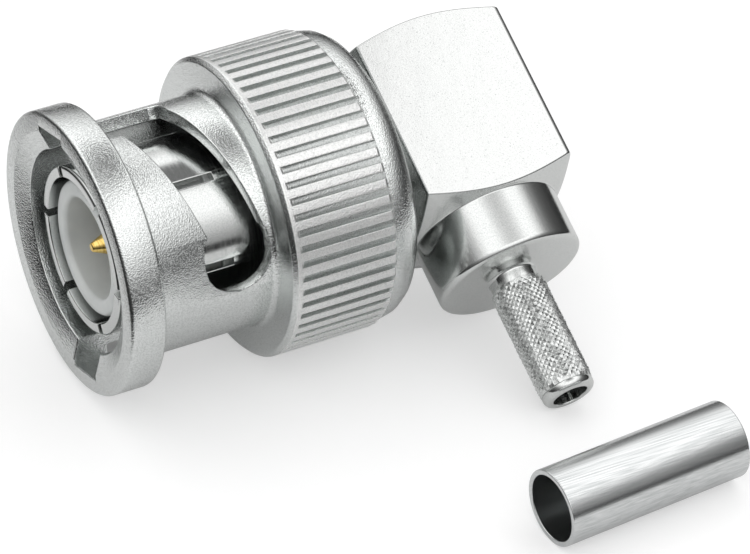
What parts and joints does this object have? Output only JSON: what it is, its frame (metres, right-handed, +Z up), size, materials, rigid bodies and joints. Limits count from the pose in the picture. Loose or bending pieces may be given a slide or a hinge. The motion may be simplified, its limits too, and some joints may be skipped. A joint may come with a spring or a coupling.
{
  "type": "bnc connector",
  "caption": "Right-angle bayonet plug for thin coaxial cable, with a knurled quarter-turn coupling nut, a square elbow, a crimp stem and a loose crimp ferrule.",
  "frame": {"origin": "middle of the front end of the slotted outer contact, the mating end", "axes": "+X along the mating axis to the back of the plug, so the mate leaves along -X; +Z up as the plug lies on its knurl and the end of its stem, with the stem pointing to -Y and down"},
  "size_m": [0.0244, 0.0289, 0.0144],
  "materials": {
    "nickel_die_cast": "nickel plate over a die-cast nut, grainy satin",
    "nickel_turned": "bright nickel plate over turned brass",
    "nickel_drawn": "nickel plate over drawn tube, satin with lengthwise lines",
    "ptfe": "turned white fluoroplastic",
    "gold": "gold plate over brass",
    "gasket_rubber": "dark silicone rubber",
    "spring_bronze": "plated spring strip"
  },
  "bodies": {
    "plug": {"outer_contact": "nickel_turned", "front_insulator": "ptfe", "centre_contact": "gold", "rear_insulator": "ptfe", "elbow_body": "nickel_turned", "chamber_insulator": "ptfe", "access_cap": "nickel_turned", "gasket": "gasket_rubber", "retaining_ring": "spring_bronze", "seat_washer": "nickel_turned", "front_wave_washer": "spring_bronze", "rear_wave_washer": "spring_bronze", "crimp_ferrule": "nickel_drawn"},
    "nut_carrier": {"thrust_washer": "nickel_turned"},
    "nut": {"coupling_nut": "nickel_die_cast"}
  },
  "joints": [
    {"name": "coupling_travel", "type": "slide", "parent": "plug", "child": "nut_carrier", "axis": [-1, 0, 0], "range_m": [0, 0.0008], "stiffness_N_per_m": 8000, "deforming": ["front_wave_washer", "rear_wave_washer"]},
    {"name": "coupling_turn", "type": "hinge", "parent": "nut_carrier", "child": "nut", "pos_m": [0, 0, 0], "axis": [1, 0, 0], "continuous": true}
  ]
}
